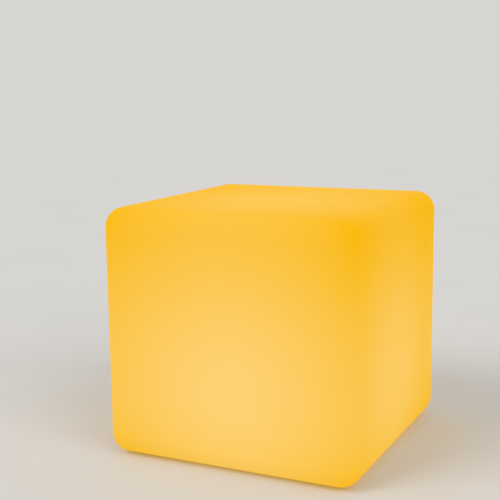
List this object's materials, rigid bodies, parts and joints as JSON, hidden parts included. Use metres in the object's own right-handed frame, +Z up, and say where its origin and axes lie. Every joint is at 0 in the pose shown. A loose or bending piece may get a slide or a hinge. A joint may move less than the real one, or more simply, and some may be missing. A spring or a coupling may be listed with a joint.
{
  "type": "led night light",
  "caption": "Glowing cube night light: a rounded translucent body lit from inside by a screwed-in rechargeable LED module, with a push button and a covered charging jack underneath.",
  "frame": {"origin": "on the table, under the middle of the body", "axes": "+Z up, -Y to the front, +X to the right of someone facing the front"},
  "size_m": [0.2, 0.2, 0.189],
  "materials": {
    "glowing_plastic": "satin",
    "frosted_plastic": "satin",
    "led_lens": "gloss",
    "white_plastic": "matte",
    "grey_rubber": "matte",
    "seal_rubber": "matte",
    "button_plastic": "satin",
    "black_plastic": "matte",
    "screw_steel": "satin",
    "nickel": "satin",
    "insert_brass": "satin",
    "clear_plastic": "gloss",
    "board_green": "satin",
    "board_white": "satin",
    "ferrite": "matte",
    "can_aluminium": "satin",
    "cell_wrap": "satin",
    "foam": "matte",
    "lead_red": "satin",
    "lead_black": "satin",
    "lead_white": "satin"
  },
  "bodies": {
    "lamp": {"diffuser_shell": "glowing_plastic", "rubber_feet": "grey_rubber", "screw_inserts": "insert_brass", "flange_gasket": "seal_rubber", "flange_screws": "screw_steel", "base_housing": "white_plastic", "switch_body": "black_plastic", "charge_jack": "nickel", "jack_pin": "nickel", "jack_seal": "seal_rubber", "jack_nut": "nickel", "jack_terminals": "nickel", "cover_hinge_pin": "screw_steel", "charge_light_pipe": "clear_plastic", "charge_led": "led_lens", "control_board": "board_green", "board_screws": "screw_steel", "driver_chip": "black_plastic", "charger_chip": "black_plastic", "power_inductor": "ferrite", "board_capacitors": "can_aluminium", "board_resistors": "black_plastic", "lead_sockets": "white_plastic", "battery_cells": "cell_wrap", "cell_tabs": "nickel", "battery_cradle": "black_plastic", "cradle_screws": "screw_steel", "cell_pads": "foam", "battery_lead_red": "lead_red", "battery_lead_black": "lead_black", "jack_leads": "lead_black", "led_leads": "lead_white", "led_tray": "white_plastic", "led_board": "board_white", "led_board_screws": "screw_steel", "leds": "led_lens", "dome_gasket": "seal_rubber", "led_dome": "frosted_plastic", "dome_screws": "screw_steel"},
    "power_button": {"power_button": "button_plastic", "button_seal": "seal_rubber", "switch_plunger": "black_plastic"},
    "port_cover": {"port_cover": "grey_rubber"}
  },
  "joints": [
    {"name": "power_button_press", "type": "slide", "parent": "lamp", "child": "power_button", "axis": [0, 0, 1], "range_m": [0, 0.0012], "stiffness_N_per_m": 1500, "springref_m": -0.0008},
    {"name": "port_cover_open", "type": "hinge", "parent": "lamp", "child": "port_cover", "pos_m": [0, -0.03713, 0.0025], "axis": [-1, 0, 0], "range_deg": [0, 120]}
  ]
}
